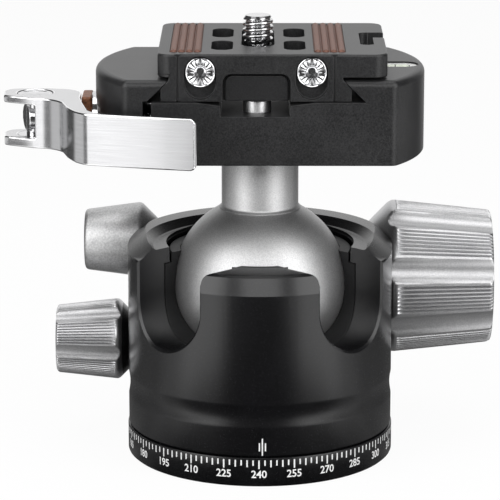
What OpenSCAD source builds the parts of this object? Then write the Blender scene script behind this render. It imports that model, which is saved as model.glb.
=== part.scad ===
// Tripod ball head with a lever clamp, a quick-release plate and a panning base.
// Millimetres, +Z up. The origin is the centre of the tripod socket in the base's bottom face.
// -Y is the front, where the index mark is. The lever is on the left, at -X.

/* [Base] */
// Outer radius of the index ring
ring_r = 27.7; // [27.6:0.1:28.4]
// Height of the index ring
ring_h = 6.1; // [5.9:0.1:6.2]
// Radius of the disc that the index ring is fitted over
base_r = 26; // [25.6:0.1:26.4]
// Radius of the hub that the housing turns on
hub_r = 15; // [14.6:0.1:15.2]
// Bore radius of the tripod socket, the tapping size of a 3/8 inch thread
socket_r = 4; // [3.9:0.05:4.1]

/* [Housing] */
// Outer radius of the ball housing
housing_r = 27.5; // [27.2:0.1:27.6]
// Radius of the bore that holds the lower cup and the liner
bore_r = 20.8; // [20.6:0.1:21]
// Height of the flat collar round the ball
collar_z = 44.6; // [44.4:0.1:44.8]
// Height of the raised rim at the back
rim_z = 46.2; // [46:0.1:46.6]
// Direction of each drop notch, in degrees from the front
notch_az = 46; // [45:1:47]
// Half width of a drop notch
notch_half = 9.05; // [8.8:0.05:9.2]

/* [Ball] */
// Radius of the ball
ball_r = 18; // [17.8:0.1:18]
// Height of the ball's centre
ball_z = 36; // [35.8:0.1:36.2]
// Radius of the stem between ball and clamp
stem_r = 7.95; // [7.6:0.05:8.1]

/* [Knobs] */
// Largest radius of the main locking knob
main_r = 16.4; // [15.6:0.1:16.4]
// Largest radius of the friction knob
friction_r = 8; // [7:0.1:8]
// Largest radius of the panning knob
pan_r = 8.6; // [8:0.1:8.6]

/* [Clamp] */
// Radius of the clamp's rounded ends
clamp_r = 33.65; // [33.2:0.05:33.8]
// Half depth of the clamp between its flat front and back
clamp_half = 19.9; // [19.6:0.1:20.4]
// Height of the clamp's underside
clamp_z = 64.8; // [64.7:0.1:65]
// Height of the clamp's top
clamp_top = 82.1; // [82:0.1:82.3]
// Height of the floor that the plate lies on
floor_z = 77.7; // [77.6:0.1:77.8]
// Height of the lever's lower face
lever_z = 65.5; // [65.4:0.1:65.7]
// Height of the lever's upper face
lever_top = 76; // [75.9:0.1:76.2]

/* [Plate] */
// Width across the plate's dovetail
dovetail_w = 38; // [37.8:0.1:38]
// Length of the plate along the clamp's channel
plate_len = 38; // [36:1:44]
// Height of the plate's top
plate_top = 87.3; // [87:0.1:87.6]
// Thread radius of the camera screw (1/4 inch)
camera_r = 3.175; // [3.15:0.005:3.175]
// Length of camera screw above the plate
camera_len = 4.7; // [4:0.1:5.5]

/* [Hidden] */
$fn = 96;
eps = 0.01;
run_gap = 0.05;          // radial clearance of a running fit

seam = 0.2;              // gap between the index ring and the housing
housing_z = ring_h + seam;
plate_floor_z = 6.9;     // underside of the bearing plate
bearing_top = 10.6;
bearing_r = 22;
nut_z = 10.9;
nut_top = 13.8;
spacer_top = 14.45;
spring_top = 15.3;
cup_top = 24.4;
seat_gap = 0.1;          // between the ball and its seats
lip_z = 41.4;            // underside of the lip that keeps the liner in
lip_r = 19.45;
liner_r = 20.65;
liner_top = 43.6;
tongue_z = 43.4;         // top of the tongue between the notches
notch_z = 35.4;          // centre of each notch's round bottom

main_y = 16;
main_z = 33;
main_rim_x = 27.9;       // plane of the main knob's widest edge
main_nose_x = 21.5;
main_end_x = 49.1;
main_end_r = 14.2;
main_screw_r = 4;
main_scallops = 8;
friction_y = 18;
friction_z = 40.5;
friction_rim_x = 25.1;
friction_nose_x = 20.7;
friction_end_x = 37.4;
friction_end_r = 6.3;
friction_screw_r = 2;
pan_y = 11;
pan_z = 20.4;
pan_rim_x = 30;
pan_nose_x = 26.6;
pan_end_x = 43.2;
pan_end_r = 7.2;
pan_screw_r = 2.5;
pan_scallops = 6;
plunger_r = 2;
plunger_x = -21.6;

corner_r = 2;            // upright corners of the clamp
jaw_face_x = -23.4;      // moving jaw's inner face
body_left_x = -21.7;     // clamp body's left face, with the gap that the jaw closes
plate_x = -0.8;          // middle of the dovetail
jaw_gap = 0.1;
dovetail_z = plate_top - 6.8;   // where the dovetail starts to narrow
recess_z = 74.85;        // floor of the channel's middle recess
rod_y = -0.2;
rod_z = 70.8;
rod_r = 2.85;
rod_end = 2.85;          // rod beyond the pivot, with a coned tip
rod_in_x = -7;
pivot_x = -46.2;
trunnion_r = 3.65;       // heads of the pivot pin, sunk in the fork
pin_r = 1.9;
pad_face_x = -36.45;     // face of the cam pad
pad_back_x = -34.4;      // where the pad rests on its washer
washer_x = -32.9;        // where the washer rests in the jaw
guide_y = 12.5;
guide_z = 71;
guide_r = 2;
vial_r = 1.3;
vial_z = 80.7;
stud_x = -0.6;
stud_y = -12.9;
stud_r = 2.8;
cam_r = 5;               // eccentric of the lever's cam
cam_x = pad_face_x - 0.2 - cam_r;
cam_y = -1.1;
fork_low = 67.45;
fork_high = 74.45;
grip_end_x = -12.5;

plate_y = -19.5;         // plate's front face
plate_under = floor_z + 0.1;
flange_z = 82.7;
flange_left = -20.45;
flange_right = 25.4;
screw_x = -0.45;
screw_y = 0.5;
neck_r = 2.9;
slot_half = 3.3;
stop_x = 11.1;
stop_z = 83.7;
stop_r = 3.05;
pad_x = 14.4;
pad_w = 6.3;
pad_len = 33;
rib_r = 0.75;
relief_x = -0.35;        // middle of the four relief slots
relief_out = 7.3;
relief_y = [-8.5, 6.1];
relief_z = 84.2;
strap_left = 20.3;
strap_right = 23;
strap_back = 6.5;

function arc(cx, cy, r, a0, a1, n) =
    [for (i = [0:n]) [cx + r * cos(a0 + (a1 - a0) * i / n), cy + r * sin(a0 + (a1 - a0) * i / n)]];

// A round bar along X from x0 to x1
module bar_x(x0, x1, y, z, r) {
    translate([x0, y, z]) rotate([0, 90, 0]) cylinder(h = x1 - x0, r = r);
}

// A cone along X, with radius r0 at x0 and r1 at x1
module cone_x(x0, x1, y, z, r0, r1) {
    translate([x0, y, z]) rotate([0, 90, 0]) cylinder(h = x1 - x0, r1 = r0, r2 = r1);
}

module tube(z0, z1, r_in, r_out) {
    difference() {
        translate([0, 0, z0]) cylinder(h = z1 - z0, r = r_out);
        translate([0, 0, z0 - 1]) cylinder(h = z1 - z0 + 2, r = r_in);
    }
}

module box(x0, x1, y0, y1, z0, z1) {
    translate([x0, y0, z0]) cube([x1 - x0, y1 - y0, z1 - z0]);
}

// A block with upright rounded corners
module round_block(x0, x1, y0, y1, z0, z1, r) {
    box(x0 + r, x1 - r, y0, y1, z0, z1);
    box(x0, x1, y0 + r, y1 - r, z0, z1);
    for (x = [x0 + r, x1 - r], y = [y0 + r, y1 - r])
        translate([x, y, z0]) cylinder(h = z1 - z0, r = r, $fn = 48);
}

// A profile in the XZ plane, drawn along Y
module along_y(y0, y1, points) {
    translate([0, y1, 0]) rotate([90, 0, 0]) linear_extrude(y1 - y0) polygon(points);
}

module pan_base() {
    color("dimgray") difference() {
        union() {
            rotate_extrude() polygon([[0, 0], [base_r - 0.4, 0], [base_r, 0.4], [base_r, ring_h - 0.1],
                [0, ring_h - 0.1]]);
            translate([0, 0, 1]) cylinder(h = nut_top - 1, r = hub_r);
        }
        translate([0, 0, -1]) cylinder(h = 20, r = 7);
        translate([0, 0, 7.5]) cylinder(h = 20, r = 9);
        ring_screw_bars(base_r - 2.2, base_r + 1, 1.25);
    }
}

module ring_screw_bars(r0, r1, r) {
    for (a = [140, 180, 220])
        rotate([0, 0, a - 90]) bar_x(r0, r1, 0, 3, r);
}

module index_ring() {
    color("black") difference() {
        rotate_extrude() polygon([[base_r, 0], [ring_r - 0.5, 0], [ring_r, 0.5],
            [ring_r, ring_h - 0.2], [ring_r - 0.2, ring_h], [base_r, ring_h]]);
        ring_screw_bars(base_r - 1, ring_r + 1, 1.25);
    }
}

module ring_grub_screws() {
    color("gray") difference() {
        ring_screw_bars(base_r - 2.2, ring_r - 0.3, 1.25);
        for (a = [140, 180, 220]) rotate([0, 0, a - 90]) translate([ring_r - 1.8, 0, 3])
            rotate([0, 90, 0]) cylinder(h = 2, r = 0.7, $fn = 6);
    }
}

module socket_bushing() {
    color("silver") difference() {
        union() {
            cylinder(h = 9, r = 7);
            translate([0, 0, 7.5]) cylinder(h = 1.5, r = 9);
        }
        translate([0, 0, -1]) cylinder(h = 12, r = socket_r);
    }
}

module thrust_washer() {
    color("ivory") tube(ring_h - 0.1, plate_floor_z - 0.15, hub_r + 0.3, 21.5);
}

module spindle_nut() {
    color("silver") difference() {
        tube(nut_z, nut_top, hub_r, 18.4);
        for (a = [0:60:300]) rotate([0, 0, a]) box(17, 19, -1, 1, nut_z + 1.5, nut_top + 1);
    }
}

// One drop notch, long enough to clear the wall and the liner
module notch(side) {
    rotate([0, 0, side * notch_az - 90]) {
        bar_x(12, 40, 0, notch_z, notch_half);
        box(12, 40, -notch_half, notch_half, notch_z, 60);
    }
}

// Coned recess in the wall that clears a knob's nose
module knob_recess(side, x_face, x_out, y, z, r_face) {
    r_out = r_face + x_out - x_face;
    if (side > 0) {
        cone_x(x_face, x_out, y, z, r_face, r_out);
        bar_x(x_out - eps, x_out + 10, y, z, r_out);
    } else {
        cone_x(-x_out, -x_face, y, z, r_out, r_face);
        bar_x(-x_out - 10, -x_out + eps, y, z, r_out);
    }
}

module housing_wall() {
    waist_z = 14.8;
    rotate_extrude() polygon(concat(
        [[bore_r - 6, housing_z], [housing_r - 0.3, housing_z], [housing_r, housing_z + 0.3],
        [housing_r, waist_z - 2.6]],
        [for (i = [1:7]) [housing_r - 0.3 * sin(i * 22.5), waist_z - 2.6 + i * 0.65]],
        [[housing_r, waist_z + 2.6], [housing_r, collar_z - 2.2], [housing_r - 0.25, collar_z - 1.6],
        [23.1, collar_z], [bore_r - 6, collar_z]]));
}

// Raised back rim: an outer cone behind the ball's axis makes it fall away towards the
// notches, and an inner one in front of that axis makes it run out there
module housing_rim() {
    outer_y = 4.4;
    outer_low_r = 30.9;
    outer_top_r = 23.4;
    inner_y = -3.4;
    inner_low_r = 21.9;
    inner_top_r = 24.3;
    difference() {
        intersection() {
            rotate_extrude() polygon([[housing_r - 3.5, collar_z - 3], [lip_r, collar_z - 0.5],
                [lip_r, rim_z], [housing_r - 2, rim_z], [housing_r - 0.5, rim_z - 1.1],
                [housing_r, rim_z - 2], [housing_r, collar_z - 3]]);
            translate([0, outer_y, collar_z - 3]) cylinder(h = 5, r1 = outer_low_r, r2 = outer_top_r);
        }
        translate([0, inner_y, collar_z]) cylinder(h = 2, r1 = inner_low_r, r2 = inner_top_r);
    }
}

module housing() {
    color("black") difference() {
        union() {
            housing_wall();
            housing_rim();
        }
        translate([0, 0, housing_z - 1]) cylinder(h = bearing_top - housing_z + 1, r = bearing_r);
        translate([0, 0, housing_z - 1]) cylinder(h = lip_z - housing_z + 1, r = bore_r);
        translate([0, 0, lip_z - 1]) cylinder(h = 10, r = lip_r);
        translate([0, 0, collar_z - 0.7]) cylinder(h = 3, r1 = lip_r, r2 = lip_r + 1.95);
        // The tongue between the notches is lower, with a sloped outer edge
        intersection() {
            rotate_extrude() polygon([[18, tongue_z], [housing_r - 2.4, tongue_z],
                [housing_r - 1.2, tongue_z - 0.5], [housing_r + 0.1, tongue_z - 3.9],
                [31, tongue_z - 3.9], [31, 50], [18, 50]]);
            linear_extrude(60) polygon([[0, 0], [-40 * tan(notch_az), -40], [40 * tan(notch_az), -40]]);
        }
        notch(-1);
        notch(1);
        knob_recess(1, main_nose_x - 0.3, main_rim_x, main_y, main_z, 10.3);
        knob_recess(-1, friction_nose_x - 0.3, friction_rim_x, friction_y, friction_z, 4.1);
        knob_recess(-1, pan_nose_x - 0.3, pan_rim_x, pan_y, pan_z, 5.6);
        bar_x(8, 30, main_y, main_z, main_screw_r + run_gap);
        bar_x(-30, -6, friction_y, friction_z, friction_screw_r + run_gap);
        bar_x(-30, plunger_x, pan_y, pan_z, pan_screw_r + run_gap);
        translate([plunger_x, pan_y, housing_z - 1])
            cylinder(h = pan_z - housing_z + 1, r = plunger_r + run_gap);
        translate([0, 27, main_z]) rotate([90, 0, 0]) cylinder(h = 10, r = 1);
    }
}

module bearing_plate() {
    color("dimgray") tube(plate_floor_z, bearing_top, hub_r + run_gap, bearing_r);
}

module spacer_ring() {
    color("gray") tube(bearing_top, spacer_top, 18.9, bore_r);
}

module wave_spring() {
    color("silver") tube(spacer_top, spring_top, 16.8, bore_r - 0.2);
}

module lower_cup() {
    color("ivory") difference() {
        tube(spring_top, cup_top, 9, bore_r);
        translate([0, 0, ball_z]) sphere(r = ball_r + seat_gap);
    }
}

// Split collar round the ball's upper half, kept in by the housing's lip
module liner() {
    neck_r = 18.95;
    color("black") difference() {
        union() {
            translate([0, 0, cup_top + 0.2]) cylinder(h = lip_z - cup_top - 0.4, r = liner_r);
            translate([0, 0, lip_z - 1]) cylinder(h = liner_top - lip_z + 0.7, r = neck_r);
            translate([0, 0, liner_top - 0.3]) cylinder(h = 0.3, r1 = neck_r, r2 = neck_r - 0.3);
        }
        translate([0, 0, ball_z]) sphere(r = ball_r + seat_gap);
        notch(-1);
        notch(1);
        box(-0.6, 0.6, 10, 24, 20, 50);
    }
}

module liner_key() {
    color("silver") translate([0, 27, main_z]) rotate([90, 0, 0])
        cylinder(h = 27 - liner_r, r = 1);
}

module main_screw() {
    color("silver") {
        bar_x(18.6, main_end_x - 8, main_y, main_z, main_screw_r);
        cone_x(17.2, 18.6, main_y, main_z, main_screw_r - 1.2, main_screw_r);
    }
}

// A shoe in a screw's bore, its inner end cut to the liner
module bore_shoe(x0, x1, y, z, r) {
    difference() {
        bar_x(x0, x1, y, z, r);
        translate([0, 0, ball_z - 20]) cylinder(h = 40, r = liner_r + 0.25);
    }
}

module main_shoe() {
    color("goldenrod") bore_shoe(9.5, 16.3, main_y, main_z, main_screw_r);
}

module main_washer() {
    color("ivory") difference() {
        bar_x(main_nose_x - 0.3, main_nose_x, main_y, main_z, 6.5);
        bar_x(main_nose_x - 1, main_nose_x + 1, main_y, main_z, main_screw_r + 0.3);
    }
}

// Knob turned about X: coned nose, sharp widest edge, body that tapers to the end
module knob_body(nose_x, nose_r, rim_x, rim_r, end_x, end_r, edge) {
    rotate([0, 90, 0]) rotate_extrude() polygon([[0, nose_x], [nose_r, nose_x],
        [rim_r - 0.3, rim_x - 0.3], [rim_r, rim_x + 0.3], [end_r, end_x - edge],
        [end_r - edge, end_x], [0, end_x]]);
}

// Smooth scallops and, between them, fine ridges that follow the taper
module knob_grip(rim_x, rim_r, end_x, end_r, count, start, cutter_r, depth, grooves, pitch, groove) {
    length = end_x - rim_x;
    taper = atan((rim_r - end_r) / length);
    for (i = [0:count - 1]) rotate([start + i * 360 / count, 0, 0]) {
        translate([rim_x, 0, rim_r]) rotate([0, taper, 0]) {
            translate([-8, 0, cutter_r - depth]) rotate([0, 90, 0])
                cylinder(h = length + 16, r = cutter_r);
        }
    }
    for (i = [0:count - 1], k = [0:grooves - 1])
        rotate([start + (i + 0.5) * 360 / count + (k - (grooves - 1) / 2) * pitch, 0, 0])
            translate([rim_x + 0.5, 0, rim_r]) rotate([0, taper, 0]) rotate([90, 0, 90])
                linear_extrude(length + 4)
                    polygon([[0, -groove], [groove * 0.62, groove * 0.3], [-groove * 0.62, groove * 0.3]]);
}

module main_knob() {
    color("gray") translate([0, main_y, main_z]) difference() {
        knob_body(main_nose_x, 10, main_rim_x, main_r, main_end_x, main_end_r, 0.5);
        knob_grip(main_rim_x, main_r, main_end_x, main_end_r, main_scallops, 72, 4.4, 1, 7, 3.2, 0.5);
        bar_x(main_nose_x - 1, main_end_x - 8, 0, 0, main_screw_r);
        bar_x(main_end_x - 2, main_end_x + 1, 0, 0, 7.5);
    }
}

module main_knob_cap() {
    color("black") translate([0, main_y, main_z])
        rotate([0, 90, 0]) rotate_extrude() polygon([[0, main_end_x - 2], [7.5, main_end_x - 2],
            [7.5, main_end_x - 0.5], [7.2, main_end_x - 0.2], [0, main_end_x - 0.2]]);
}

module friction_screw() {
    color("silver") bar_x(-friction_end_x + 4, -15.2, friction_y, friction_z, friction_screw_r);
}

module friction_shoe() {
    color("ivory") bore_shoe(-14.6, -7.5, friction_y, friction_z, friction_screw_r);
}

module friction_knob() {
    color("silver") mirror([1, 0, 0]) translate([0, friction_y, friction_z]) difference() {
        knob_body(friction_nose_x, 3.6, friction_rim_x, friction_r, friction_end_x, friction_end_r, 0.4);
        bar_x(friction_nose_x - 1, friction_end_x - 4, 0, 0, friction_screw_r);
    }
}

module pan_screw() {
    color("silver") {
        bar_x(-pan_end_x + 4, -24.2, pan_y, pan_z, pan_screw_r);
        cone_x(-24.2, -22.1, pan_y, pan_z, pan_screw_r, 0.4);
    }
}

module pan_plunger() {
    color("goldenrod") translate([plunger_x, pan_y, 9]) {
        cylinder(h = 7.6, r = plunger_r);
        translate([0, 0, 7.6]) cylinder(h = 0.9, r1 = plunger_r, r2 = plunger_r - 0.9);
    }
}

module pan_brake_pad() {
    color("ivory") translate([plunger_x, pan_y, ring_h + 0.2]) cylinder(h = 9 - ring_h - 0.2, r = plunger_r);
}

module pan_knob() {
    color("gray") mirror([1, 0, 0]) translate([0, pan_y, pan_z]) difference() {
        knob_body(pan_nose_x, 5.2, pan_rim_x, pan_r, pan_end_x, pan_end_r, 0.4);
        knob_grip(pan_rim_x, pan_r, pan_end_x, pan_end_r, pan_scallops, 36.5, 3, 0.55, 8, 4.4, 0.32);
        bar_x(pan_nose_x - 1, pan_end_x - 4, 0, 0, pan_screw_r);
    }
}

module ball() {
    color("silver") translate([0, 0, ball_z]) sphere(r = ball_r);
}

module stem() {
    foot_z = ball_z + 15.3;
    color("silver") difference() {
        rotate_extrude() polygon([[0, foot_z], [stem_r + 0.55, foot_z], [stem_r + 0.55, foot_z + 0.5],
            [stem_r + 0.2, foot_z + 0.85], [stem_r, foot_z + 1.4], [stem_r, clamp_z - 0.1],
            [0, clamp_z - 0.1]]);
        translate([0, 0, ball_z]) sphere(r = ball_r + 0.06);
        translate([0, 0, 56.5]) cylinder(h = 10, r = 2.95);
    }
}

module stem_bolt() {
    color("dimgray") difference() {
        union() {
            translate([0, 0, 56.5]) cylinder(h = 16, r = 2.95);
            translate([0, 0, 72.4]) cylinder(h = 2.2, r = 5);
        }
        translate([0, 0, 73.1]) cylinder(h = 3, r = 2.3, $fn = 6);
    }
}

// Plan of the clamp: two round ends, a flat front and back, and rounded upright corners
module clamp_plan(z0, z1) {
    mid_y = clamp_half - corner_r;
    mid_x = sqrt(pow(clamp_r - corner_r, 2) - pow(mid_y, 2));
    meet = atan2(mid_y, mid_x);    // where a round end meets its corners
    translate([0, 0, z0]) linear_extrude(z1 - z0) polygon([for (side = [0, 180]) each concat(
        arc(cos(side) * mid_x, -cos(side) * mid_y, corner_r, side - 90, side - meet, 6),
        [for (i = [1:27]) let(a = side - meet + i * meet / 14) [clamp_r * cos(a), clamp_r * sin(a)]],
        arc(cos(side) * mid_x, cos(side) * mid_y, corner_r, side + meet, side + 90, 6))]);
}

// Cuts the clamp's sloped top edges, along its front and back and round its ends
module clamp_top_edges() {
    edge = 1.2;
    rotate_extrude($fn = 180) polygon([[clamp_r - edge, clamp_top + eps], [clamp_r + 1, clamp_top - edge - 1],
        [clamp_r + 1, clamp_top + eps]]);
    for (side = [0, 180]) rotate([0, 0, side]) translate([-40, -clamp_half, clamp_top])
        rotate([90, 0, 90]) linear_extrude(80) polygon([[edge, eps], [-1, eps], [-1, -edge - 1]]);
}

module clamp_body() {
    slope_x = plate_x + dovetail_w / 2 + jaw_gap;
    color("black") difference() {
        clamp_plan(clamp_z, clamp_top);
        box(-40, body_left_x, -30, 30, clamp_z - 1, clamp_top + 1);
        along_y(-30, 30, [[-40, floor_z], [slope_x + dovetail_z - floor_z, floor_z],
            [slope_x + dovetail_z - clamp_top - 1, clamp_top + 1], [-40, clamp_top + 1]]);
        along_y(-30, 30, [[-13, floor_z + eps], [-8, floor_z - 0.65], [-8, recess_z], [6, recess_z],
            [6, floor_z - 0.65], [11, floor_z + eps]]);
        translate([0, 0, clamp_z - 1]) cylinder(h = 12, r = 2.95 + run_gap);
        translate([0, 0, 72.2]) cylinder(h = 10, r = 5.3);
        bar_x(body_left_x - 1, rod_in_x, rod_y, rod_z, rod_r);
        for (s = [-1, 1]) {
            bar_x(body_left_x - 1, -8, s * guide_y, guide_z, guide_r);
            bar_x(body_left_x - 1, -15, s * guide_y, guide_z, 3.3);
        }
        translate([stud_x, stud_y, 70]) cylinder(h = 10, r = stud_r);
        translate([-13, rod_y, clamp_z - 1]) cylinder(h = rod_z - clamp_z, r = 1.5);
        level_pocket(0);
        clamp_top_edges();
    }
}

// Space of the spirit level in the clamp's top, made smaller all round by gap
module level_pocket(gap) {
    box(22.6 + gap, 29.4, -3.9 + gap, 1.9 - gap, 79.2, clamp_top + 1);
    translate([29.4, -1, 79.2]) cylinder(h = clamp_top - 78.2, r = 2.9 - gap, $fn = 48);
}

module moving_jaw() {
    slope_x = plate_x - dovetail_w / 2 - jaw_gap;
    color("black") difference() {
        intersection() {
            clamp_plan(clamp_z + 0.1, clamp_top);
            along_y(-30, 30, [[-40, clamp_z], [jaw_face_x, clamp_z], [jaw_face_x, floor_z + 0.2],
                [slope_x - dovetail_z + floor_z + 0.2, floor_z + 0.2],
                [slope_x + clamp_top - dovetail_z, clamp_top + eps], [-40, clamp_top + eps]]);
        }
        bar_x(-40, -20, rod_y, rod_z, rod_r + 0.1);
        bar_x(-40, washer_x, rod_y, rod_z, 5.8);
        for (s = [-1, 1]) bar_x(-31.5, -20, s * guide_y, guide_z, guide_r + run_gap);
        clamp_top_edges();
    }
}

module jaw_guide_pins() {
    color("silver") for (s = [-1, 1]) bar_x(-28.5, -8, s * guide_y, guide_z, guide_r);
}

module jaw_springs() {
    color("silver") for (s = [-1, 1]) difference() {
        bar_x(jaw_face_x + 0.1, -15, s * guide_y, guide_z, 3.1);
        bar_x(jaw_face_x - 1, -14, s * guide_y, guide_z, 2.3);
    }
}

module draw_rod() {
    tip = 1.15;
    color("silver") difference() {
        union() {
            bar_x(pivot_x - rod_end + tip, rod_in_x, rod_y, rod_z, rod_r);
            cone_x(pivot_x - rod_end, pivot_x - rod_end + tip, rod_y, rod_z, rod_r - tip, rod_r);
        }
        translate([pivot_x, rod_y, lever_z]) cylinder(h = 12, r = pin_r + 0.02);
    }
}

module rod_lock_screw() {
    color("dimgray") difference() {
        translate([-13, rod_y, clamp_z + 0.2]) cylinder(h = 2.6, r = 1.5);
        translate([-13, rod_y, clamp_z - 1]) cylinder(h = 2.4, r = 0.8, $fn = 6);
    }
}

// Pivot pin through the rod, with a wide head in each arm of the fork
module trunnion() {
    color("silver") translate([pivot_x, rod_y, 0]) {
        translate([0, 0, lever_z + 0.4]) cylinder(h = fork_low - lever_z - 0.45, r = trunnion_r);
        translate([0, 0, fork_low - 0.1]) cylinder(h = fork_high - fork_low + 0.2, r = pin_r);
        translate([0, 0, fork_high + 0.05]) cylinder(h = lever_top - fork_high - 0.05, r = trunnion_r);
    }
}

// Plan of the lever: fork head with its eccentric, curved arm and flat grip
module lever_plan() {
    polygon(concat(
        arc(cam_x, cam_y, cam_r, 0, 90, 12),
        [[-44, 4.5], [-46.6, 4.6]],
        arc(-49.3, 0.7, 3.5, 80, 170, 6),
        [[-52.4, -2.9], [-50, -4.4], [-46.4, -6.2]],
        arc(-46.6, -13.4, 7.1, 78, 22, 6),
        [[-38.9, -15.3], [-37.6, -18.6], [-36.2, -21], [-34.1, -22.8], [grip_end_x, -28.2],
        [grip_end_x - 0.4, -26.9], [-29, -22.7]],
        arc(-28.6, -16.6, 6.1, 262, 196, 6),
        [[-35.9, -10.5], [cam_x + cam_r, -5.2]]));
}

module lever() {
    color("silver") difference() {
        translate([0, 0, lever_z]) linear_extrude(lever_top - lever_z) lever_plan();
        translate([pivot_x, rod_y, lever_z - 1]) cylinder(h = 20, r = trunnion_r + run_gap);
        box(-60, pivot_x + 0.3, -20, 20, fork_low, fork_high);
        box(-60, -30, rod_y - trunnion_r - 0.3, 20, fork_low, fork_high);
    }
}

module cam_pad() {
    color("saddlebrown") difference() {
        round_block(pad_face_x, pad_back_x, -4.8, 4.4, 66, 75.8, 0.6);
        bar_x(-40, -30, rod_y, rod_z, rod_r + 0.1);
    }
}

module cam_washer() {
    color("silver") difference() {
        bar_x(pad_back_x, washer_x, rod_y, rod_z, 5.4);
        bar_x(-40, -30, rod_y, rod_z, rod_r + 0.1);
    }
}

module level_housing() {
    color("white") difference() {
        intersection() {
            level_pocket(0.05);
            box(0, 50, -10, 10, 79, clamp_top - 0.35);
        }
        level_bore(vial_r + 0.2);
        box(22, 29.6, -1 - vial_r, -1 + vial_r, vial_z, 83);
    }
}

// Space of the vial, which lies along X
module level_bore(r) {
    bar_x(22, 29.6, -1, vial_z, r);
    translate([29.6, -1, vial_z]) sphere(r = r);
}

module level_vial() {
    color("lightgreen") intersection() {
        level_bore(vial_r);
        box(22.8, 40, -10, 10, 70, 90);
    }
}

module floor_stud() {
    color("silver") {
        translate([stud_x, stud_y, 70]) cylinder(h = 6.9, r = stud_r);
        translate([stud_x, stud_y, 76.9]) cylinder(h = 0.45, r1 = stud_r, r2 = stud_r - 0.45);
    }
}

// U-shaped recess in the plate's front for a stop screw's head
module stop_recess(x) {
    for (z = [stop_z, 81.4]) translate([x, plate_y - 1, z]) rotate([-90, 0, 0])
        cylinder(h = 2.4, r = stop_r + 0.15);
    box(x - stop_r - 0.15, x + stop_r + 0.15, plate_y - 1, plate_y + 1.4, 81.4, stop_z);
}

module plate() {
    half = dovetail_w / 2;
    back = plate_y + plate_len;
    color("black") difference() {
        union() {
            along_y(plate_y, back, [[plate_x - half, plate_under], [plate_x + half, plate_under],
                [plate_x + half, dovetail_z], [plate_x + half - 1.7, dovetail_z + 1.7],
                [plate_x + half - 1.7, flange_z + 1], [plate_x - half + 1.7, flange_z + 1],
                [plate_x - half + 1.7, dovetail_z + 1.7], [plate_x - half, dovetail_z]]);
            round_block(flange_left, flange_right, plate_y, back, flange_z, plate_top, 2.8);
        }
        // Slot of the camera screw and the channel for its head
        round_block(screw_x - slot_half, screw_x + slot_half, -10.3, 11.3, 80, 90, slot_half - eps);
        round_block(-7.3, 6.4, -14.5, 15.5, plate_under - 1, 83.3, 3);
        // Arched panel in the front
        round_panel(-7.3, 5.6, plate_under - 1, 83.3, 1.6);
        for (s = [-1, 1]) {
            stop_recess(plate_x + s * stop_x);
            translate([plate_x + s * stop_x, plate_y, stop_z]) rotate([-90, 0, 0]) cylinder(h = 8, r = 1.5);
            box(plate_x + s * 15.6 - 0.25, plate_x + s * 15.6 + 0.25, plate_y - 1, plate_y + 0.4,
                plate_under - 1, plate_top + 1);
            box(plate_x + 0.3 + s * pad_x - pad_w / 2, plate_x + 0.3 + s * pad_x + pad_w / 2,
                -pad_len / 2, pad_len / 2, plate_top - 1.05, plate_top + 1);
            for (y = relief_y) relief_slot(relief_x + s * relief_out, y);
        }
        // Strap slot, open to the right edge
        round_block(strap_left, strap_right, -7.9, strap_back, flange_z - 1, plate_top + 1, 1.3);
        box(strap_right - 1, flange_right + 1, 0.6, strap_back, flange_z - 1, plate_top + 1);
    }
}

// Blind round-ended slot in the plate's top
module relief_slot(x, y) {
    half_w = 2.15;
    half_l = 5.3;
    round_block(x - half_w, x + half_w, y - half_l, y + half_l, relief_z, plate_top + 1, 2);
}

module round_panel(x0, x1, z0, z1, r) {
    deep = 1;
    box(x0, x1, plate_y - 1, plate_y + deep, z0, z1 - r);
    box(x0 + r, x1 - r, plate_y - 1, plate_y + deep, z0, z1);
    for (x = [x0 + r, x1 - r]) translate([x, plate_y - 1, z1 - r]) rotate([-90, 0, 0])
        cylinder(h = 1 + deep, r = r);
}

// Two soft strips with four round ribs each
module plate_pads() {
    color("sienna") for (s = [-1, 1]) translate([plate_x + 0.3 + s * pad_x, 0, 0]) {
        box(-pad_w / 2, pad_w / 2, -pad_len / 2, pad_len / 2, plate_top - 1.05, plate_top - 0.25);
        for (i = [-1.5:1:1.5]) translate([i * (pad_w / 4), pad_len / 2, plate_top - 0.25])
            rotate([90, 0, 0]) cylinder(h = pad_len, r = rib_r - 0.02, $fn = 32);
    }
}

// The neck below the thread keeps the screw in its washer
module camera_screw() {
    tip_z = plate_top + camera_len;
    thread_z = plate_top + 0.1;
    color("silver") translate([screw_x, screw_y, 0]) difference() {
        union() {
            translate([0, 0, 78.2]) cylinder(h = 4.1, r = 5.8);
            translate([0, 0, 80]) cylinder(h = thread_z - 79.5, r = neck_r);
            translate([0, 0, thread_z]) cylinder(h = tip_z - 0.6 - thread_z, r = camera_r);
            translate([0, 0, tip_z - 0.6]) cylinder(h = 0.6, r1 = camera_r, r2 = camera_r - 0.6);
        }
        box(-7, 7, -0.7, 0.7, 77, 79.6);
    }
}

module screw_washer() {
    color("gold") translate([screw_x, screw_y, 0]) tube(82.3, 83.2, neck_r + run_gap, 5.6);
}

module stop_screws() {
    color("silver") for (s = [-1, 1]) translate([plate_x + s * stop_x, plate_y, stop_z])
        rotate([-90, 0, 0]) difference() {
            union() {
                rotate_extrude() polygon([[0, 0.1], [stop_r - 0.4, 0.1], [stop_r, 0.5],
                    [stop_r, 1.4], [0, 1.4]]);
                translate([0, 0, 1]) cylinder(h = 6.5, r = 1.5);
            }
            translate([0, 0, -0.5]) cylinder(h = 1.5, r = 1, $fn = 6);
        }
}

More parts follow.
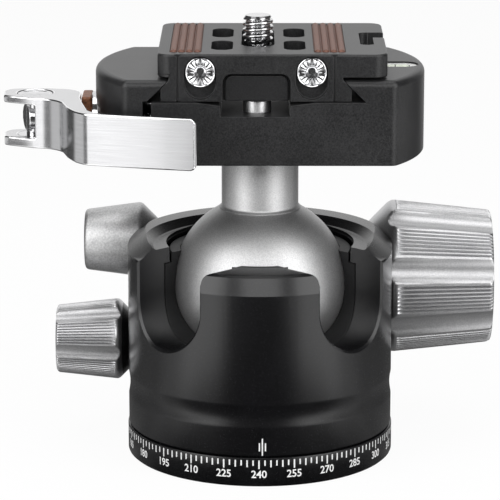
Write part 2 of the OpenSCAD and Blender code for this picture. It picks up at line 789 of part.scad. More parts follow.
pan_base();
index_ring();
ring_grub_screws();
socket_bushing();
thrust_washer();
spindle_nut();
housing();
bearing_plate();
spacer_ring();
wave_spring();
lower_cup();
liner();
liner_key();
main_screw();
main_shoe();
main_washer();
main_knob();
main_knob_cap();
friction_screw();
friction_shoe();
friction_knob();
pan_screw();
pan_plunger();
pan_brake_pad();
pan_knob();
ball();
stem();
stem_bolt();
clamp_body();
moving_jaw();
jaw_guide_pins();
jaw_springs();
draw_rod();
rod_lock_screw();
trunnion();
lever();
cam_pad();
cam_washer();
level_housing();
level_vial();
floor_stud();
plate();
plate_pads();
camera_screw();
screw_washer();
stop_screws();
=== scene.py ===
import bpy
from math import atan2, cos, degrees, pi, radians, sin, sqrt
from mathutils import Matrix, Vector


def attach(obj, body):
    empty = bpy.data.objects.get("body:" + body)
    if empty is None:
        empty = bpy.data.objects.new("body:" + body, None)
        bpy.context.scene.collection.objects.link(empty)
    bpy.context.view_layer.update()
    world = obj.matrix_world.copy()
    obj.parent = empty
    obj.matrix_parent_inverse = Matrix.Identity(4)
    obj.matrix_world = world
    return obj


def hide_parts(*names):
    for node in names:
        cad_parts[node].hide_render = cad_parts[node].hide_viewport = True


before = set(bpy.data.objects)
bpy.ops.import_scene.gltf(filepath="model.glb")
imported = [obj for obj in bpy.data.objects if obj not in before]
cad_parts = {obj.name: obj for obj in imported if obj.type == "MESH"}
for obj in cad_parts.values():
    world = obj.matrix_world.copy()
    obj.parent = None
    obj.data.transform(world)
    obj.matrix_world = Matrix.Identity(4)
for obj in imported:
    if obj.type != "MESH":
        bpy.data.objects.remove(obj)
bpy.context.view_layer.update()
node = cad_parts


# ---- Camera. It stands 0.6 m in front, a little above, and looks slightly down.
eye = bpy.data.cameras.new("camera")
eye.lens = 213.95
eye.sensor_width = 36
eye.clip_end = 20
camera = bpy.data.objects.new("camera", eye)
camera.location = (0, -0.600, 0.19243)
camera.rotation_euler = (radians(75.978), 0, radians(0.198))
bpy.context.scene.collection.objects.link(camera)
bpy.context.scene.camera = camera
bpy.context.scene.view_settings.view_transform = "Standard"


# ---- Panning base. A turned disc of black anodised aluminium with a steel bushing
# pressed into its middle, where the tripod's screw goes. The three small screws at
# the back hold the index ring.
class Wire:
    """One output of a material's nodes. Sums on it add the Math nodes that they need."""

    def __init__(self, tree, socket):
        self.tree = tree
        self.socket = socket

    def node(self, kind, settings=None, out=0, **values):
        made = self.tree.nodes.new(kind)
        for name, value in (settings or {}).items():
            if name == "stops":
                made.color_ramp.interpolation = "EASE"
                ramp = made.color_ramp.elements
                while len(ramp) < len(value):
                    ramp.new(0.5)
                for stop, (place, shade) in zip(ramp, value):
                    stop.position = place
                    stop.color = shade if isinstance(shade, tuple) else (shade, shade, shade, 1)
            else:
                setattr(made, name, value)
        for name, value in values.items():
            name = int(name[1:]) if name[1:].isdigit() else name.replace("_", " ")
            self.plug(made.inputs[name], value)
        return Wire(self.tree, made.outputs[out])

    def plug(self, socket, value):
        if isinstance(value, Wire):
            self.tree.links.new(value.socket, socket)
        else:
            socket.default_value = value

    def math(self, kind, first, second=0.0):
        return self.node("ShaderNodeMath", {"operation": kind}, i0=first, i1=second)

    def __add__(self, other):
        return self.math("ADD", self, other)

    def __sub__(self, other):
        return self.math("SUBTRACT", self, other)

    def __mul__(self, other):
        return self.math("MULTIPLY", self, other)

    def shade(self, dark, light):
        """A colour between two, by this value."""
        return self.node("ShaderNodeMix", {"data_type": "RGBA"}, out=2, Factor=self,
                         i6=(*dark, 1), i7=(*light, 1))


def finish(name, colour, metallic, roughness, **fixed):
    """A material of one shader. Returns it, its place on the object and its sockets."""
    made = bpy.data.materials.new(name)
    made.use_nodes = True
    tree = made.node_tree
    shader = tree.nodes["Principled BSDF"]
    shader.inputs["Base Color"].default_value = (*colour, 1)
    shader.inputs["Metallic"].default_value = metallic
    shader.inputs["Roughness"].default_value = roughness
    for socket, value in fixed.items():
        shader.inputs[socket.replace("_", " ")].default_value = value
    made.diffuse_color = (*colour, 1)
    coordinates = tree.nodes.new("ShaderNodeTexCoord")
    return made, Wire(tree, coordinates.outputs["Object"]), shader.inputs


def noise(place, scale, detail=2.0, roughness=0.5, stretch=None):
    """Fine noise on the object, with scale in grains to the millimetre."""
    if stretch:
        place = place.node("ShaderNodeMapping", Vector=place, Scale=stretch)
    return place.node("ShaderNodeTexNoise", Vector=place, Scale=scale * 1000, Detail=detail,
                      Roughness=roughness)


def bump(place, sockets, height, strength, depth):
    """Feeds a height in to the shader's normal. Depth is in millimetres."""
    made = place.node("ShaderNodeBump", Height=height, Strength=strength, Distance=depth * 0.001)
    place.plug(sockets["Normal"], made)


def bead_blasted(name, dark, light, metallic, rough, grain, depth, **fixed):
    """Metal blasted with glass beads: a fine even grain, a little cloudy over a wide area."""
    made, place, sockets = finish(name, light, metallic, rough, **fixed)
    pits = noise(place, grain, 3.0, 0.6)
    cloud = noise(place, 0.12, 2.0)
    tone = pits * 0.75 + cloud * 0.25
    place.plug(sockets["Base Color"], tone.node("ShaderNodeMapRange", Value=tone, i1=0.36, i2=0.64)
               .shade(dark, light))
    place.plug(sockets["Roughness"], pits * 0.14 + (rough - 0.07))
    bump(place, sockets, pits, 0.55, depth)
    return made


black = bead_blasted("black_anodised", (0.002, 0.002, 0.0022), (0.007, 0.007, 0.008), 0.0, 0.25,
                     4.2, 0.012, Specular_IOR_Level=0.55)
base_black = bead_blasted("base_black", (0.006, 0.006, 0.0065), (0.016, 0.016, 0.017), 0.0, 0.40,
                          3.2, 0.01)

MM = 0.001


def deselect():
    bpy.ops.object.select_all(action="DESELECT")


def start(name, material):
    """Names the primitive that was just added and gives it its material."""
    piece = bpy.context.object
    piece.name = piece.data.name = name
    piece.data.materials.append(material)
    return piece


def close_up(piece, angle=32):
    """Merges doubles, caps the ends and turns the faces outwards."""
    bpy.ops.object.mode_set(mode="EDIT")
    bpy.ops.mesh.select_all(action="SELECT")
    bpy.ops.mesh.remove_doubles(threshold=2e-6)
    bpy.ops.mesh.fill_holes(sides=0)
    bpy.ops.mesh.normals_make_consistent(inside=False)
    bpy.ops.object.mode_set(mode="OBJECT")
    bpy.ops.object.shade_smooth_by_angle(angle=radians(angle))


def turned(name, material, profile, steps=96, centre=(0, 0, 0), axis=(0, 0, 1), sweep=360, angle=32):
    """A lathe-turned piece. Its profile is (radius, distance along the axis), in millimetres,
    which is drawn as one string of edges and spun."""
    along = Vector(axis)
    across = Vector((0, -1, 0)) if abs(along.x) > 0.5 else Vector((1, 0, 0))
    middle = Vector(centre)
    points = [(middle + across * r + along * h) * MM for r, h in profile]
    deselect()
    bpy.ops.mesh.primitive_plane_add(size=MM)
    piece = start(name, material)
    bpy.ops.object.mode_set(mode="EDIT")
    bpy.ops.mesh.select_mode(type="VERT")
    bpy.ops.mesh.select_all(action="SELECT")
    bpy.ops.mesh.merge(type="CENTER")
    bpy.ops.transform.translate(value=points[0])
    for before, after in zip(points, points[1:]):
        bpy.ops.mesh.extrude_vertices_move(TRANSFORM_OT_translate={"value": after - before})
    bpy.ops.mesh.select_all(action="SELECT")
    bpy.ops.mesh.spin(steps=steps, angle=radians(sweep), center=middle * MM, axis=along)
    bpy.ops.object.mode_set(mode="OBJECT")
    close_up(piece, angle)
    return piece


def wrapped(name, material, around, along, shape, angle=32):
    """A grid wrapped round a piece: shape(column, row) gives each point in millimetres."""
    deselect()
    bpy.ops.mesh.primitive_grid_add(x_subdivisions=around, y_subdivisions=along - 1, size=1)
    piece = start(name, material)
    for corner in piece.data.vertices:
        column = round((corner.co.x + 0.5) * around) % around
        row = round((corner.co.y + 0.5) * (along - 1))
        corner.co = Vector(shape(column, row)) * MM
    close_up(piece, angle)
    return piece


def arc(x, y, r, a0, a1, n):
    """Points on an arc, with angles in degrees."""
    turn = [radians(a0 + (a1 - a0) * i / n) for i in range(n + 1)]
    return [(x + r * cos(a), y + r * sin(a)) for a in turn]


def assign(names, material):
    """Gives CAD pieces that keep their shape their finish."""
    for name in names:
        node[name].data.materials.clear()
        node[name].data.materials.append(material)


def socket_wall(column, row):
    """The bushing's threaded bore, its two faces and its outside, as one closed skin."""
    turn = 2 * pi * column / 64
    if row <= 80:
        z = 8.95 * row / 80
        groove = abs(((z / 1.5875 - turn / (2 * pi)) % 1) * 2 - 1)
        edge = max(0.0, 1 - z / 0.7, 1 - (8.95 - z) / 0.7)
        r = 4.02 + 0.72 * max(groove, edge)
    else:
        r, z = [(8.7, 8.95), (8.98, 8.7), (8.98, 7.52), (6.98, 7.5), (6.98, 0.25), (6.75, 0.0),
                (4.76, 0.0)][row - 81]
    return r * cos(turn), r * sin(turn), z


steel = bead_blasted("machined_steel", (0.42, 0.42, 0.43), (0.56, 0.56, 0.57), 1.0, 0.28, 2.0, 0.002)
bushing = wrapped("tripod_bushing", steel, 64, 88, socket_wall)
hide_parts("socket_bushing")
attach(bushing, "base")

black_steel = bead_blasted("black_oxide_steel", (0.012, 0.012, 0.013), (0.03, 0.03, 0.031), 0.0,
                           0.34, 2.0, 0.003)
nylon, nylon_place, nylon_sockets = finish("ivory_nylon", (0.78, 0.74, 0.64), 0.0, 0.45)
mottle = noise(nylon_place, 0.8)
nylon_place.plug(nylon_sockets["Base Color"], mottle.shade((0.70, 0.66, 0.56), (0.84, 0.81, 0.72)))
nylon_place.plug(nylon_sockets["Roughness"], mottle * 0.2 + 0.38)
assign(["pan_base", "bearing_plate"], base_black)
assign(["ring_grub_screws", "stem_bolt", "rod_lock_screw"], black_steel)
assign(["spindle_nut", "spacer_ring", "wave_spring", "liner_key", "main_screw", "friction_screw",
        "pan_screw"], steel)
assign(["thrust_washer", "lower_cup", "main_washer", "friction_shoe", "pan_brake_pad"], nylon)


# ---- Index ring. A black ring with chamfered edges, fitted over the base. Its degree
# numbers and marks are laser engraved and read white.
ring_r = 27.7
ring = turned("index_ring_dressed", black, [
    (26, 0), (27.25, 0), (27.62, 0.32), (27.7, 0.55), (27.7, 5.88), (27.64, 6.03), (27.5, 6.1),
    (26, 6.1), (26, 0)], steps=192)
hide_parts("index_ring")
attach(ring, "base")

engraved, mark_place, mark_sockets = finish("engraved_white", (0.8, 0.8, 0.8), 0.0, 0.6)
chalk = noise(mark_place, 6.0)
mark_place.plug(mark_sockets["Base Color"], chalk.shade((0.62, 0.62, 0.62), (0.9, 0.9, 0.9)))
mark_place.plug(mark_sockets["Roughness"], chalk * 0.2 + 0.5)


def bend_round(piece, bearing):
    """Bends a flat mark round the ring. Its x is a length along the ring, in metres."""
    for corner in piece.data.vertices:
        turn = corner.co.x / (ring_r * MM) + radians(bearing)
        r = ring_r * MM + corner.co.y
        corner.co = Vector((r * sin(turn), -r * cos(turn), corner.co.z))


def upright_box(name, x, z0, z1, width, proud):
    """One engraved line, standing just proud of the skin that it is cut in."""
    deselect()
    bpy.ops.mesh.primitive_cube_add(size=1)
    line = start(name, engraved)
    for corner in line.data.vertices:
        corner.co = Vector((x + corner.co.x * width, -proud / 2 + corner.co.y * proud,
                            z0 + (corner.co.z + 0.5) * (z1 - z0))) * MM
        if corner.co.y < 0:
            corner.co.y = -proud * MM
    return line


scale_zero = -0.31
marks = []
for step in range(144):
    bearing = step * 2.5 + scale_zero
    foot = 3.85 if step % 6 == 0 else 4.2 if step % 2 == 0 else 4.52
    line = upright_box(f"tick_{step}", 0, foot, 5.66, 0.3, 0.012)
    for corner in line.data.vertices:
        corner.co.y = -corner.co.y - 0.01 * MM
    bend_round(line, bearing)
    marks.append(line)
for step in range(24):
    deselect()
    bpy.ops.object.text_add()
    label = bpy.context.object
    label.name = f"degrees_{step}"
    label.data.body = str((240 + step * 15) % 360)
    label.data.align_x = "CENTER"
    label.data.size = 2.22 * MM
    label.data.offset = 0.035 * MM
    label.data.extrude = 0.01 * MM
    label.data.resolution_u = 3
    label.data.space_character = 0.98
    bpy.ops.object.convert(target="MESH")
    label = bpy.context.object
    label.data.materials.clear()
    label.data.materials.append(engraved)
    for corner in label.data.vertices:
        corner.co = Vector((corner.co.x * 0.98, corner.co.z, corner.co.y + 1.96 * MM))
    bend_round(label, step * 15 + scale_zero)
    label.data.flip_normals()
    marks.append(label)
deselect()
for line in marks:
    line.select_set(True)
bpy.context.view_layer.objects.active = marks[0]
bpy.ops.object.join()
scale = bpy.context.object
scale.name = scale.data.name = "degree_scale"
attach(scale, "base")


# ---- Housing. Turned and milled from one piece of aluminium, black anodised. Two round
# bottomed notches let the stem drop to the side, and three coned recesses clear the knobs.
def cut(piece, cutter, operation="DIFFERENCE"):
    """Takes a cutter out of a piece (or joins the two, or keeps what they share)."""
    deselect()
    piece.select_set(True)
    bpy.context.view_layer.objects.active = piece
    edge = piece.modifiers.new("cut", "BOOLEAN")
    edge.operation = operation
    # Where the housing's faces nearly meet its cutters', the exact solver varies from run to run
    edge.solver = "MANIFOLD" if piece.name == "housing_dressed" else "EXACT"
    edge.object = cutter
    bpy.ops.object.modifier_apply(modifier=edge.name)
    bpy.data.objects.remove(cutter)


def prism(name, material, outline, low, high, axis="Z", angle=32):
    """A flat outline with thickness, upright or along Y, from a circle primitive."""
    deselect()
    bpy.ops.mesh.primitive_circle_add(vertices=len(outline), radius=1, fill_type="NGON")
    piece = start(name, material)
    for corner, (a, b) in zip(piece.data.vertices, outline):
        corner.co = Vector((a, b, low) if axis == "Z" else (a, low, b)) * MM
    rise = Vector((0, 0, high - low) if axis == "Z" else (0, high - low, 0)) * MM
    bpy.ops.object.mode_set(mode="EDIT")
    bpy.ops.mesh.select_all(action="SELECT")
    bpy.ops.mesh.extrude_region_move(TRANSFORM_OT_translate={"value": rise})
    bpy.ops.object.mode_set(mode="OBJECT")
    close_up(piece, angle)
    return piece


def soften(piece, width, segments=2, limit=35, polished=None, angle=32):
    """A small rounded bevel on every sharp edge, then even shading."""
    deselect()
    piece.select_set(True)
    bpy.context.view_layer.objects.active = piece
    bpy.ops.object.mode_set(mode="EDIT")
    bpy.ops.mesh.select_all(action="SELECT")
    bpy.ops.mesh.remove_doubles(threshold=2e-6)
    bpy.ops.mesh.dissolve_limited(angle_limit=radians(0.4))
    bpy.ops.mesh.dissolve_degenerate(threshold=5e-6)
    bpy.ops.object.mode_set(mode="OBJECT")
    edge = piece.modifiers.new("edge", "BEVEL")
    edge.width = width * MM
    edge.segments = segments
    edge.limit_method = "ANGLE"
    edge.angle_limit = radians(limit)
    edge.use_clamp_overlap = False
    edge.miter_outer = "MITER_ARC"
    if polished:
        piece.data.materials.append(polished)
        edge.material = len(piece.data.materials) - 1
    bpy.ops.object.modifier_apply(modifier=edge.name)
    even_shading(piece, angle)


def even_shading(piece, angle=32):
    deselect()
    piece.select_set(True)
    bpy.context.view_layer.objects.active = piece
    bpy.ops.object.shade_smooth_by_angle(angle=radians(angle))
    flat = piece.modifiers.new("flat", "WEIGHTED_NORMAL")
    flat.keep_sharp = True
    bpy.ops.object.modifier_apply(modifier=flat.name)


wall_r = 27.5
waist = [(wall_r - 0.3 * sin(pi * i / 8), 12.2 + 5.2 * i / 8) for i in range(9)]
housing = turned("housing_dressed", black, [
    (22, 6.3), (27.16, 6.3), (27.42, 6.42), (27.5, 6.65)] + waist + [
    (27.5, 42.35), (27.44, 42.7), (27.2, 43.02), (23.1, 44.6), (20.0, 44.6), (19.45, 43.8),
    (19.45, 41.4), (20.8, 41.4), (20.8, 10.6), (22, 10.6), (22, 6.3)], steps=180)
# The raised rim falls away on the outside towards the notches, where the inside runs out
rim = turned("rear_rim", black, [
    (24, 41.6), (19.5, 44.1), (19.5, 46.2), (25.3, 46.2), (25.75, 46.12), (26.2, 45.85), (27.0, 45.1),
    (27.35, 44.6), (27.5, 44.0), (27.5, 41.6), (24, 41.6)], steps=180)
cut(rim, turned("cutter", black, [(0, 41), (31.8, 41), (22.85, 47), (0, 47)], steps=180,
                centre=(0, 4.4, 0)), "INTERSECT")
cut(rim, turned("cutter", black, [(0, 44.6), (21.7, 44.6), (22.1, 44.75), (24.9, 47.1), (0, 47.1)],
                steps=180, centre=(0, -3.4, 0)))
cut(housing, rim, "UNION")
# Between the notches the wall is lower, with a sloped outer edge. It is spun clockwise.
notch_bearing = 46
tongue_top = 43.7
tongue = turned("cutter", black, [
    (18, tongue_top), (25.0, tongue_top), (25.6, 43.58), (26.2, 43.2), (27.54, 39.7), (31, 39.7),
    (31, 50), (18, 50), (18, tongue_top)], steps=46, sweep=2 * notch_bearing)
tongue.data.transform(Matrix.Rotation(radians(-90 + notch_bearing), 4, "Z"))
cut(housing, tongue)

notch_half = 9.05
notch_z = 35.4
notch_edge = [(-notch_half, 60 - 24.6 * i / 14) for i in range(14)]
notch_edge += [(notch_half * cos(a), notch_z + notch_half * sin(a))
               for a in [pi + pi * i / 40 for i in range(41)]]
notch_edge += [(notch_half, notch_z + 24.6 * i / 14) for i in range(1, 15)]


def notch(bearing, radius, flare, near=12.0, grow=0.0):
    """A round-bottomed cutter along a bearing. Where it leaves the wall it opens out, which
    leaves an even chamfer along the notch's edge."""
    def shape(column, row):
        t, z = notch_edge[column]
        swell = (0, 0, 2 * flare, 2 * flare)[row] + grow
        low = min(0.0, z - notch_z)
        reach = sqrt(t * t + low * low)
        t, z = (t * (1 + swell / reach), z + low * swell / reach) if low < 0 else (
            t + (swell if t > 0 else -swell), z)
        skin = sqrt(max(radius ** 2 - min(abs(t), radius - 1) ** 2, 1))
        out = (near, skin - flare, skin + flare, radius + 12)[row]
        turn = radians(bearing)
        return out * sin(turn) + t * cos(turn), -out * cos(turn) + t * sin(turn), z
    return wrapped("cutter", black, len(notch_edge), 4, shape)


for side in (-1, 1):
    cut(housing, notch(side * notch_bearing, wall_r, 0.5))
    # The tongue's upper corners at the notches are rounded
    t, top, r = notch_half, tongue_top, 1.7
    above = [(t - 1, top - r), (t, top - r)] + arc(t + r, top - r, r, 180, 90, 8)[1:]
    above += [(t + r, 45), (t - 1, 45)]
    corner = prism("cutter", black, [(-side * a, z) for a, z in above], -32, -17, axis="Y")
    corner.data.transform(Matrix.Rotation(radians(side * notch_bearing), 4, "Z"))
    cut(housing, corner)


def along_x(side, profile, y, z, steps=96, name="cutter", material=None):
    """A piece turned about a line along X, on the left (-1) or right (1) side."""
    return turned(name, material or black, profile, steps=steps, centre=(0, y, z), axis=(side, 0, 0))


for side, y, z, face, face_r, out, bore in ((1, 16, 33, 21.2, 10.3, 27.9, 4.05),
                                            (-1, 18, 40.5, 20.4, 4.1, 25.1, 2.05),
                                            (-1, 11, 20.4, 26.3, 5.6, 30, 2.55)):
    cut(housing, along_x(side, [(0, face), (face_r - 0.4, face), (face_r, face + 0.3),
                                (face_r + out - face, out), (face_r + out - face, out + 9),
                                (0, out + 9)], y, z))
    cut(housing, along_x(side, [(0, 8), (bore, 8), (bore, face - 0.4), (bore + 0.5, face + 0.1),
                                (bore + 0.5, face + 1), (0, face + 1)], y, z, 48))
cut(housing, turned("cutter", black, [(0, 17), (1.0, 17), (1.0, 27.2), (1.4, 27.6), (1.4, 29), (0, 29)],
                    steps=32, centre=(0, 0, 33), axis=(0, 1, 0)))
even_shading(housing, 18)
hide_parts("housing")
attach(housing, "housing")

index_marks = [upright_box("index_mark", x, z0, z1, 0.26, 0.012)
               for x, z0, z1 in ((-0.08, 7.55, 9.25), (0.52, 6.62, 10.2), (1.14, 7.55, 9.25))]
for line in index_marks:
    for corner in line.data.vertices:
        turn = corner.co.x / (wall_r * MM)
        r = wall_r * MM - corner.co.y
        corner.co = Vector((r * sin(turn), -r * cos(turn), corner.co.z))
deselect()
for line in index_marks:
    line.select_set(True)
bpy.context.view_layer.objects.active = index_marks[0]
bpy.ops.object.join()
index_mark = bpy.context.object
index_mark.name = index_mark.data.name = "index_mark"
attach(index_mark, "housing")


# ---- Liner. A split collar of hard black polymer that grips the ball's upper half. The
# housing's lip keeps it in, and the notches run through it.
polymer, polymer_place, polymer_sockets = finish("liner_polymer", (0.008, 0.008, 0.008), 0.0, 0.5,
                                                 Specular_IOR_Level=0.3)
streak = noise(polymer_place, 1.6)
polymer_place.plug(polymer_sockets["Base Color"],
                   streak.shade((0.004, 0.004, 0.004), (0.014, 0.014, 0.015)))
polymer_place.plug(polymer_sockets["Roughness"], streak * 0.16 + 0.42)

ball_z = 36
seat_r = 18.12
seat = [(sqrt(seat_r ** 2 - (z - ball_z) ** 2), z) for z in [24.6 + 18.7 * i / 24 for i in range(25)]]
liner = turned("liner_dressed", polymer, [
    (20.65, 24.6), (20.65, 41.2), (18.95, 41.2), (18.95, 43.05), (18.7, 43.3)] + seat[::-1] + [
    (20.65, 24.6)], steps=180)
for side in (-1, 1):
    cut(liner, notch(side * notch_bearing, 20.65, 0.25))
deselect()
bpy.ops.mesh.primitive_cube_add(size=1)
slit = start("cutter", polymer)
slit.data.transform(Matrix.Translation((0, 17 * MM, 35 * MM))
                    @ Matrix.Diagonal((1.2 * MM, 14 * MM, 30 * MM, 1)))
cut(liner, slit)
even_shading(liner)
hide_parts("liner")
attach(liner, "housing")


# ---- Ball and stem. Turned aluminium, bead blasted and clear anodised, a warm silver.
# A steel bolt comes down through the clamp and holds it on the stem.
silver = bead_blasted("silver_anodised", (0.50, 0.50, 0.505), (0.70, 0.70, 0.70), 1.0, 0.50, 4.0, 0.008)
ball_r = 18
ball_curve = [(ball_r * sin(radians(a)), ball_z - ball_r * cos(radians(a))) for a in range(9, 181, 2)]
ball = turned("ball_dressed", silver, [(0, 18.35), (2.3, 18.3), (2.6, 18.25)] + ball_curve
              + [(0, ball_z + ball_r)], steps=180)
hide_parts("ball")
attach(ball, "ball")

under = [(r, ball_z + sqrt(18.03 ** 2 - r * r)) for r in [8.45 * i / 8 for i in range(9)]]
stem = turned("stem_dressed", silver, under + [
    (8.5, 51.95), (8.42, 52.1), (8.2, 52.28), (8.02, 52.5), (7.95, 52.8), (7.95, 64.25),
    (7.8, 64.5), (7.6, 64.7), (0, 64.7)], steps=144)
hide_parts("stem")
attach(stem, "stem")


# ---- Knobs. Turned aluminium with a titanium-grey finish. Smooth scallops and, between
# them, fine ridges run along the taper. The small one at the back left is plain.
titanium = bead_blasted("titanium_grey", (0.46, 0.46, 0.47), (0.60, 0.60, 0.605), 1.0, 0.34, 3.4, 0.006)


def grip(name, side, y, z, nose, rim, end, scallops, start_at, cutter_r, depth, grooves, pitch, groove,
         corner, fillet):
    """A knob with scallops and ridges. nose, rim and end are (distance out, radius)."""
    (nose_x, nose_r), (rim_x, rim_r), (end_x, end_r) = nose, rim, end
    taper = (rim_r - end_r) / (end_x - rim_x)
    half_pitch = 180 / scallops
    valley_share = 0.62
    valley = degrees(groove * valley_share / rim_r)
    scallop_edge = degrees(sqrt(2 * depth * cutter_r / (rim_r * (rim_r + cutter_r)))) + 0.6
    places = [scallop_edge * (i / 7 - 1) for i in range(15)]
    first = half_pitch - pitch * (grooves - 1) / 2
    places += [(scallop_edge + first - valley) / 2]
    for k in range(grooves):
        middle = first + k * pitch
        places += [middle - valley, middle - valley / 2, middle, middle + valley / 2, middle + valley]
    places += [2 * half_pitch - (scallop_edge + first - valley) / 2]
    columns = [start_at + 2 * half_pitch * n + p for n in range(scallops) for p in places]
    body = [(nose_x, nose_r - 0.3), (nose_x + 0.12, nose_r)]
    cone = (rim_r - nose_r) / (rim_x - nose_x)
    body += [(rim_x - corner - i * 0.7, rim_r - (corner + i * 0.7) * cone) for i in (4, 2, 1, 0.5)
             if rim_x - corner - i * 0.7 > nose_x + 0.3]
    for i in range(9):
        t = i / 8
        lower = (rim_x - corner * (1 - t), rim_r - corner * (1 - t) * cone)
        upper = (rim_x + corner * t, rim_r - corner * t * taper)
        body.append((lower[0] * (1 - t) + upper[0] * t, lower[1] * (1 - t) + upper[1] * t))
    ramp = [corner + 0.02, corner + 0.15, corner + 0.35, corner + 0.6, corner + 1.0]
    body += [(rim_x + d, rim_r - d * taper) for d in ramp]
    body += [(x, rim_r - (x - rim_x) * taper) for x in
             [rim_x + 2.4 + (end_x - fillet - rim_x - 2.4) * i / 6 for i in range(7)]]
    for i in range(1, 7):
        a = pi / 2 * i / 6
        body.append((end_x - fillet + fillet * sin(a), end_r + fillet * taper - fillet * (1 - cos(a))))
    body += [(end_x, end_r - fillet - 0.4)]

    def shape(column, row):
        x, r = body[row]
        angle = columns[column]
        local = (angle - start_at) % (2 * half_pitch)
        off = radians(min(local, 2 * half_pitch - local))
        line = rim_r - (x - rim_x) * taper + cutter_r - depth
        within = cutter_r ** 2 - (line * sin(off)) ** 2
        if within > 0 and off < 0.6:
            r = min(r, line * cos(off) - sqrt(within))
        run = x - rim_x - corner
        if run > 0:
            sink = groove * min(1.0, sqrt(run / 0.9))
            for k in range(grooves):
                gap = abs(local - first - k * pitch)
                if gap < valley:
                    r = min(r, rim_r - (x - rim_x) * taper - sink * (1 - gap / valley))
        turn = radians(angle)
        return side * x, y - r * sin(turn), z + r * cos(turn)
    return wrapped(name, titanium, len(columns), len(body), shape, angle=28)


main_knob = grip("main_knob_dressed", 1, 16, 33, (21.5, 10), (27.9, 16.4), (49.1, 14.2),
                 8, 72, 4.4, 1.0, 7, 3.2, 0.5, 0.9, 1.0)
cap_seat = along_x(1, [(0, 47.1), (7.5, 47.1), (7.5, 48.75), (7.8, 49.15), (7.8, 50), (0, 50)], 16, 33)
cut(main_knob, cap_seat)
even_shading(main_knob, 26)
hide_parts("main_knob")
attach(main_knob, "main_knob")

cap = along_x(1, [(0, 47.12), (7.48, 47.12), (7.48, 48.6), (7.2, 48.88), (6.2, 48.88), (6.1, 48.8),
                  (6.0, 48.8), (5.9, 48.88), (0, 48.9)], 16, 33, name="main_knob_cap_dressed",
              material=black_steel)
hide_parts("main_knob_cap")
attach(cap, "main_knob")

coarse_silver = bead_blasted("friction_silver", (0.42, 0.42, 0.425), (0.66, 0.66, 0.66), 1.0, 0.45,
                             2.6, 0.02)
friction_knob = along_x(-1, [
    (0, 20.7), (3.35, 20.7), (3.6, 20.9), (7.2, 24.5), (7.62, 24.95), (7.86, 25.35), (7.93, 25.9),
    (6.52, 36.6), (6.38, 36.95), (6.1, 37.22), (5.7, 37.36), (5.2, 37.4), (1.6, 37.4), (1.3, 37.2),
    (0, 37.15)], 18, 40.5, name="friction_knob_dressed", material=coarse_silver)
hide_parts("friction_knob")
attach(friction_knob, "friction_knob")

pan_knob = grip("pan_knob_dressed", -1, 11, 20.4, (26.6, 5.2), (30, 8.6), (43.2, 7.2),
                6, 36.5, 3, 0.55, 8, 4.4, 0.32, 0.5, 0.7)
pan_knob.data.materials.append(black)
for face in pan_knob.data.polygons:
    if face.center.x > -29.3 * MM:
        face.material_index = 1
cut(pan_knob, along_x(-1, [(0, 42.9), (1.9, 42.9), (2.3, 43.3), (2.3, 44), (0, 44)], 11, 20.4, 48))
even_shading(pan_knob, 26)
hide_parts("pan_knob")
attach(pan_knob, "pan_knob")

brass = bead_blasted("brass", (0.62, 0.42, 0.16), (0.76, 0.55, 0.24), 1.0, 0.3, 2.0, 0.002)
assign(["main_shoe", "pan_plunger"], brass)


# ---- Clamp. One black block under the plate, with a dovetail on the right and a moving
# jaw on the left. It is milled, its upper edge is rounded, and then it is anodised.
milled_black = bead_blasted("milled_black", (0.006, 0.006, 0.0065), (0.026, 0.026, 0.027), 0.0, 0.40,
                            3.4, 0.012, Specular_IOR_Level=0.45)


def pick_edges(piece, test):
    """Selects the edges whose two ends both pass a test, and goes into edit mode."""
    deselect()
    piece.select_set(True)
    bpy.context.view_layer.objects.active = piece
    bpy.ops.object.mode_set(mode="EDIT")
    bpy.ops.mesh.select_mode(type="EDGE")
    bpy.ops.mesh.select_all(action="DESELECT")
    bpy.ops.object.mode_set(mode="OBJECT")
    for edge in piece.data.edges:
        a, b = (piece.data.vertices[i].co / MM for i in edge.vertices)
        edge.select = test(a, b)
    bpy.ops.object.mode_set(mode="EDIT")


def round_edges(piece, test, width, segments):
    """Rounds chosen edges."""
    pick_edges(piece, test)
    bpy.ops.mesh.bevel(offset=width * MM, segments=segments, profile=0.5, clamp_overlap=False)
    bpy.ops.object.mode_set(mode="OBJECT")


def box_outline(x0, x1, y0, y1, r, n=6):
    """A rectangle with round corners."""
    return (arc(x1 - r, y0 + r, r, -90, 0, n) + arc(x1 - r, y1 - r, r, 0, 90, n)
            + arc(x0 + r, y1 - r, r, 90, 180, n) + arc(x0 + r, y0 + r, r, 180, 270, n))


def clamp_block(name):
    """The rounded block that body and jaw are both cut from."""
    half, end_r, corner = 19.9, 33.65, 2.0
    mid_y = half - corner
    mid_x = sqrt((end_r - corner) ** 2 - mid_y ** 2)
    meet = degrees(atan2(mid_y, mid_x))
    outline = []
    for turn in (0, 180):
        side = 1 if turn == 0 else -1
        outline += arc(side * mid_x, -side * mid_y, corner, turn - 90, turn - meet, 8)
        outline += arc(0, 0, end_r, turn - meet, turn + meet, 36)[1:-1]
        outline += arc(side * mid_x, side * mid_y, corner, turn + meet, turn + 90, 8)
    block = prism(name, milled_black, outline, 64.8, 82.1)
    round_edges(block, lambda a, b: a.z > 82 and b.z > 82, 1.35, 5)
    round_edges(block, lambda a, b: a.z < 64.9 and b.z < 64.9, 0.3, 2)
    return block


